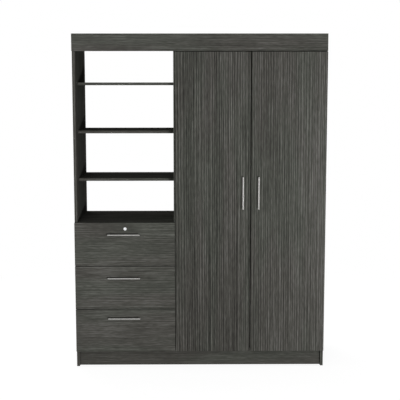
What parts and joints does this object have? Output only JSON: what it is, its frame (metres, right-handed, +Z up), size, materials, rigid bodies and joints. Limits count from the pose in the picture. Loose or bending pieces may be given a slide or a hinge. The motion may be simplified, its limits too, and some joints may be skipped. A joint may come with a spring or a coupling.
{
  "type": "chifforobe",
  "caption": "Flat-pack wardrobe cabinet in dark grey wood-grain board: open shelf bay above lockable drawers on the left, tall hinged doors with bar pulls on the right.",
  "frame": {"origin": "on the floor, below the middle of the whole cabinet with its pulls", "axes": "+Z up, +X to the right seen from the front, fronts facing -Y"},
  "size_m": [1.35, 0.515, 1.8],
  "materials": {
    "grey_oak_board": "wood-grain melamine on particle board, satin",
    "hardboard": "thin pressed fibreboard, matt",
    "nickel_steel": "nickel-plated steel",
    "beech_dowel": "fluted beech",
    "runner_plastic": "white moulded plastic",
    "bright_tube": "chrome-plated steel tube",
    "socket_metal": "chrome-plated zinc casting",
    "lock_metal": "chrome-plated zinc, bright",
    "satin_pull": "satin nickel bar"
  },
  "bodies": {
    "case": {"left_side": "grey_oak_board", "right_side": "grey_oak_board", "divider": "grey_oak_board", "top_panel": "grey_oak_board", "bottom_panel": "grey_oak_board", "header_fascia": "grey_oak_board", "front_plinth": "grey_oak_board", "rear_plinth": "grey_oak_board", "drawer_deck": "grey_oak_board", "lower_shelf": "grey_oak_board", "middle_shelf": "grey_oak_board", "upper_shelf": "grey_oak_board", "hat_shelf": "grey_oak_board", "wardrobe_back": "hardboard", "drawer_bay_back": "hardboard", "shelf_pins": "nickel_steel", "case_screws": "nickel_steel", "header_dowels": "beech_dowel", "hinge_screws": "nickel_steel", "runner_screws": "nickel_steel", "drawer_runners": "runner_plastic", "hinge_arms": "nickel_steel", "hinge_plates": "nickel_steel", "hanging_rod": "bright_tube", "rod_sockets": "socket_metal"},
    "left_door": {"left_door": "grey_oak_board", "left_door_pull": "satin_pull", "left_door_hinge_cups": "nickel_steel", "left_door_hinge_pins": "nickel_steel", "left_door_screws": "nickel_steel"},
    "right_door": {"right_door": "grey_oak_board", "right_door_pull": "satin_pull", "right_door_hinge_cups": "nickel_steel", "right_door_hinge_pins": "nickel_steel", "right_door_screws": "nickel_steel"},
    "upper_drawer": {"upper_drawer_front": "grey_oak_board", "upper_drawer_sides": "grey_oak_board", "upper_drawer_back": "grey_oak_board", "upper_drawer_bottom": "hardboard", "upper_drawer_pull": "satin_pull", "upper_drawer_screws": "nickel_steel", "upper_drawer_dowels": "beech_dowel", "lock_barrel": "lock_metal", "lock_nut": "nickel_steel"},
    "middle_drawer": {"middle_drawer_front": "grey_oak_board", "middle_drawer_sides": "grey_oak_board", "middle_drawer_back": "grey_oak_board", "middle_drawer_bottom": "hardboard", "middle_drawer_pull": "satin_pull", "middle_drawer_screws": "nickel_steel", "middle_drawer_dowels": "beech_dowel"},
    "lower_drawer": {"lower_drawer_front": "grey_oak_board", "lower_drawer_sides": "grey_oak_board", "lower_drawer_back": "grey_oak_board", "lower_drawer_bottom": "hardboard", "lower_drawer_pull": "satin_pull", "lower_drawer_screws": "nickel_steel", "lower_drawer_dowels": "beech_dowel"},
    "lock_core": {"lock_plug": "lock_metal", "lock_cam": "nickel_steel"}
  },
  "joints": [
    {"name": "left_door_swing", "type": "hinge", "parent": "case", "child": "left_door", "pos_m": [-0.12425, -0.2215, 0.9], "axis": [0, 0, -1], "range_deg": [0, 90]},
    {"name": "right_door_swing", "type": "hinge", "parent": "case", "child": "right_door", "pos_m": [0.6675, -0.2215, 0.9], "axis": [0, 0, 1], "range_deg": [0, 100]},
    {"name": "upper_drawer_slide", "type": "slide", "parent": "case", "child": "upper_drawer", "axis": [0, -1, 0], "range_m": [0, 0.3]},
    {"name": "middle_drawer_slide", "type": "slide", "parent": "case", "child": "middle_drawer", "axis": [0, -1, 0], "range_m": [0, 0.3]},
    {"name": "lower_drawer_slide", "type": "slide", "parent": "case", "child": "lower_drawer", "axis": [0, -1, 0], "range_m": [0, 0.3]},
    {"name": "lock_turn", "type": "hinge", "parent": "upper_drawer", "child": "lock_core", "pos_m": [-0.40263, -0.2275, 0.765], "axis": [0, -1, 0], "range_deg": [0, 90]}
  ]
}
